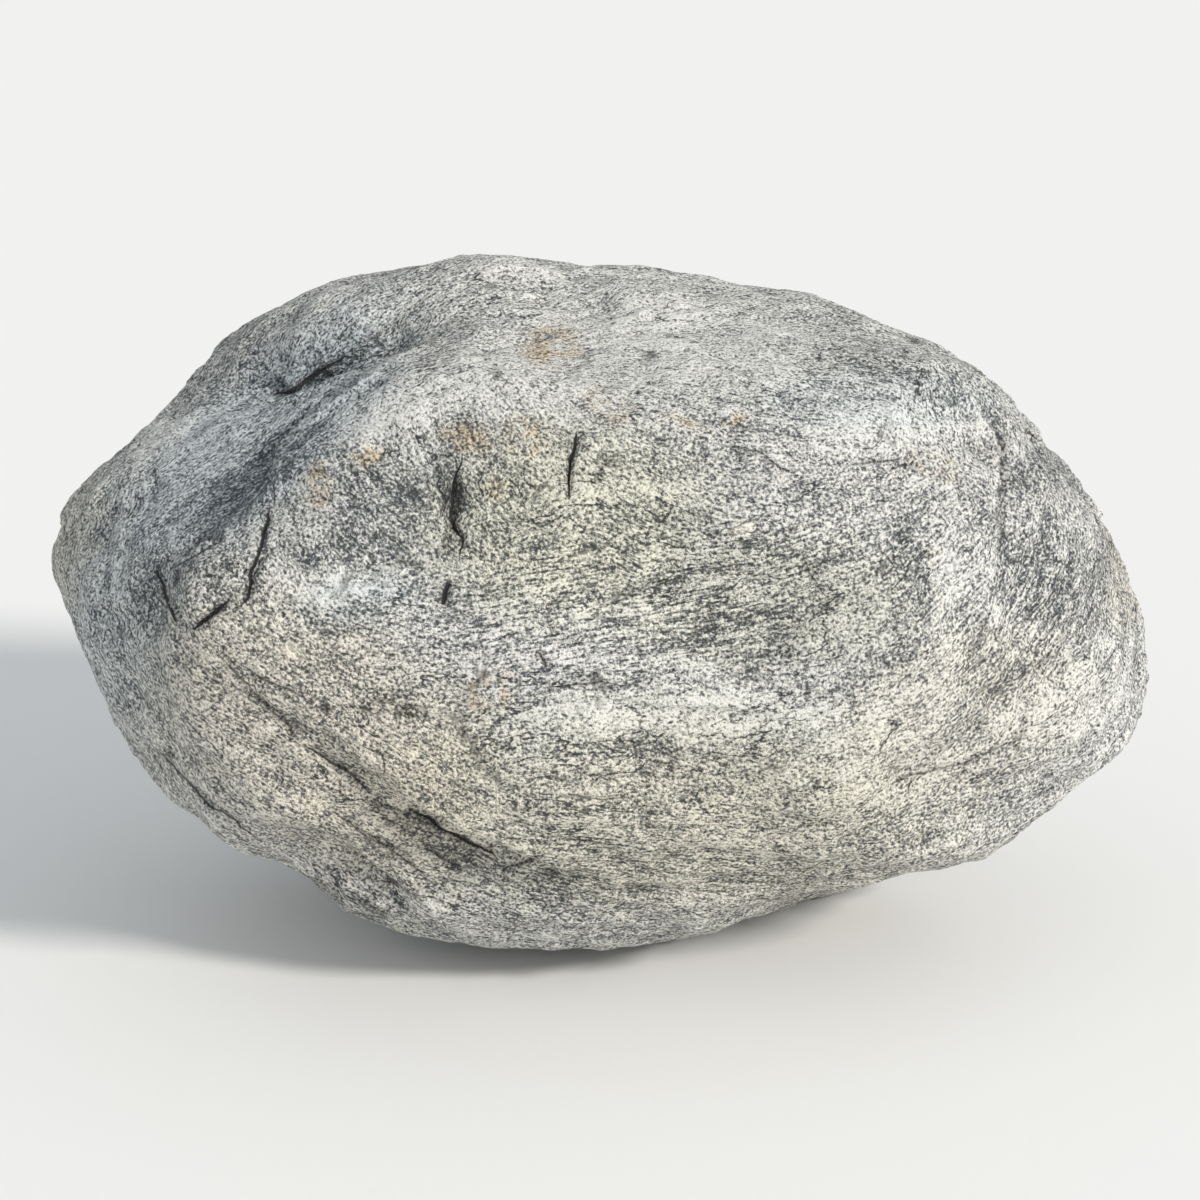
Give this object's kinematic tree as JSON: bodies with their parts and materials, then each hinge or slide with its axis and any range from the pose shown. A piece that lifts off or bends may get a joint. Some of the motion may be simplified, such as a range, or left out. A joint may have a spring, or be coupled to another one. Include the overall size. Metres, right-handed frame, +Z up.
{
  "type": "landscape boulder",
  "caption": "Large weathered block of banded gneiss with worn edges, ledges and troughs, resting on a small flat; a garden or landscape boulder.",
  "frame": {"origin": "on the ground under the middle of the boulder's length and depth", "axes": "+X along the boulder's long axis, towards its blunt right end as seen from the front; -Y out of the broad front face; +Z up"},
  "size_m": [0.8996, 0.604, 0.5535],
  "materials": {
    "stone": "rough, dry and weathered"
  },
  "bodies": {
    "root": {"boulder": "stone"}
  },
  "joints": []
}
